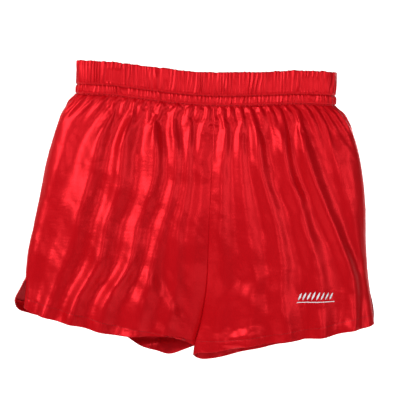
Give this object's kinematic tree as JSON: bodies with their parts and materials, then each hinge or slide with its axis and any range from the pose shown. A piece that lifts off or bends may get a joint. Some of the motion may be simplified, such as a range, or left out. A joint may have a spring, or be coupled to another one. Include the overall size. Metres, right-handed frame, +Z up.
{
  "type": "boxing shorts",
  "caption": "Loose satin sports shorts with a gathered elastic waistband in channels, short flared legs, turned hems, side vents and an embroidered mark near one hem",
  "frame": {"origin": "middle of the waistband, level with the top of its two ends, on the line the shorts hang from", "axes": "+Z up, +X towards the wearer's left, -Y is the front of the shorts"},
  "size_m": [0.4644, 0.0638, 0.38],
  "materials": {
    "shell_satin": "bright red polyester satin, shiny side out",
    "satin_wrong_side": "duller wrong side of the same satin",
    "elastic": "woven white elastic tape",
    "size_tape": "dark grey-green woven label, blank",
    "care_tape": "white printed-label satin, blank",
    "thread": "white embroidery thread with a slight sheen",
    "backing": "soft non-woven embroidery backing"
  },
  "bodies": {
    "waist": {"waistband_front_left": "shell_satin", "waistband_front_right": "shell_satin", "waistband_back_left": "shell_satin", "waistband_back_right": "shell_satin", "upper_elastic": "elastic", "lower_elastic": "elastic", "size_label": "size_tape"},
    "leg_left": {"front_panel_left": "shell_satin", "back_panel_left": "shell_satin", "front_hem_left": "satin_wrong_side", "back_hem_left": "satin_wrong_side", "side_seam_left": "satin_wrong_side", "inseam_left": "satin_wrong_side", "front_rise_seam": "satin_wrong_side", "embroidered_motif": "thread", "embroidery_backing": "backing"},
    "leg_right": {"front_panel_right": "shell_satin", "back_panel_right": "shell_satin", "front_hem_right": "satin_wrong_side", "back_hem_right": "satin_wrong_side", "side_seam_right": "satin_wrong_side", "inseam_right": "satin_wrong_side", "back_rise_seam": "satin_wrong_side"},
    "care_label": {"care_label": "care_tape"}
  },
  "joints": [
    {"name": "leg_left_swing", "type": "hinge", "parent": "waist", "child": "leg_left", "pos_m": [0, 0, -0.056], "axis": [1, 0, 0], "range_deg": [-20, 15]},
    {"name": "leg_right_swing", "type": "hinge", "parent": "waist", "child": "leg_right", "pos_m": [0, 0, -0.056], "axis": [1, 0, 0], "range_deg": [-20, 15]},
    {"name": "care_label_flip", "type": "hinge", "parent": "waist", "child": "care_label", "pos_m": [0, 0.0108, -0.0269], "axis": [1, 0, 0], "range_deg": [-35, 0]}
  ]
}
